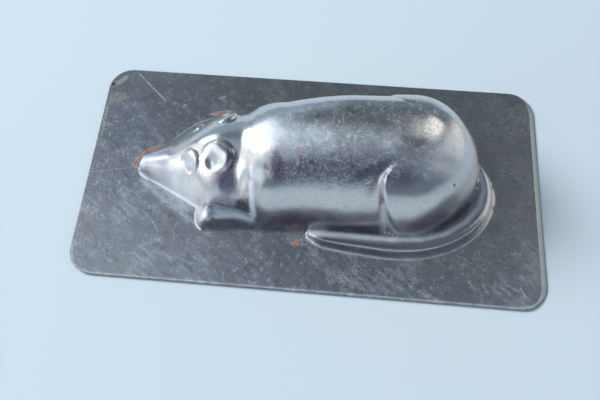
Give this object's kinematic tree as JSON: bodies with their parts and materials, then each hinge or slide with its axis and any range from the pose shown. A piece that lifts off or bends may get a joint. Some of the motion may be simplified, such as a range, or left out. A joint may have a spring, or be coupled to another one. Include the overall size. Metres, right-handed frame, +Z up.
{
  "type": "chocolate mould",
  "caption": "Pressed tinned-steel chocolate mould: a flat plate with rounded corners, drawn up in the middle into a lying mouse with a curled tail, hollow below.",
  "frame": {"origin": "centre of the plate at its underside, the face it rests on", "axes": "+X along the plate from the mouse's nose to its rump, +Y across to the side away from the tail, +Z up out of the relief"},
  "size_m": [0.18, 0.09, 0.0358],
  "materials": {
    "tinned_steel": "tinned, worn bright with fine scratches and a few rust specks"
  },
  "bodies": {
    "root": {"mould_sheet": "tinned_steel"}
  },
  "joints": []
}
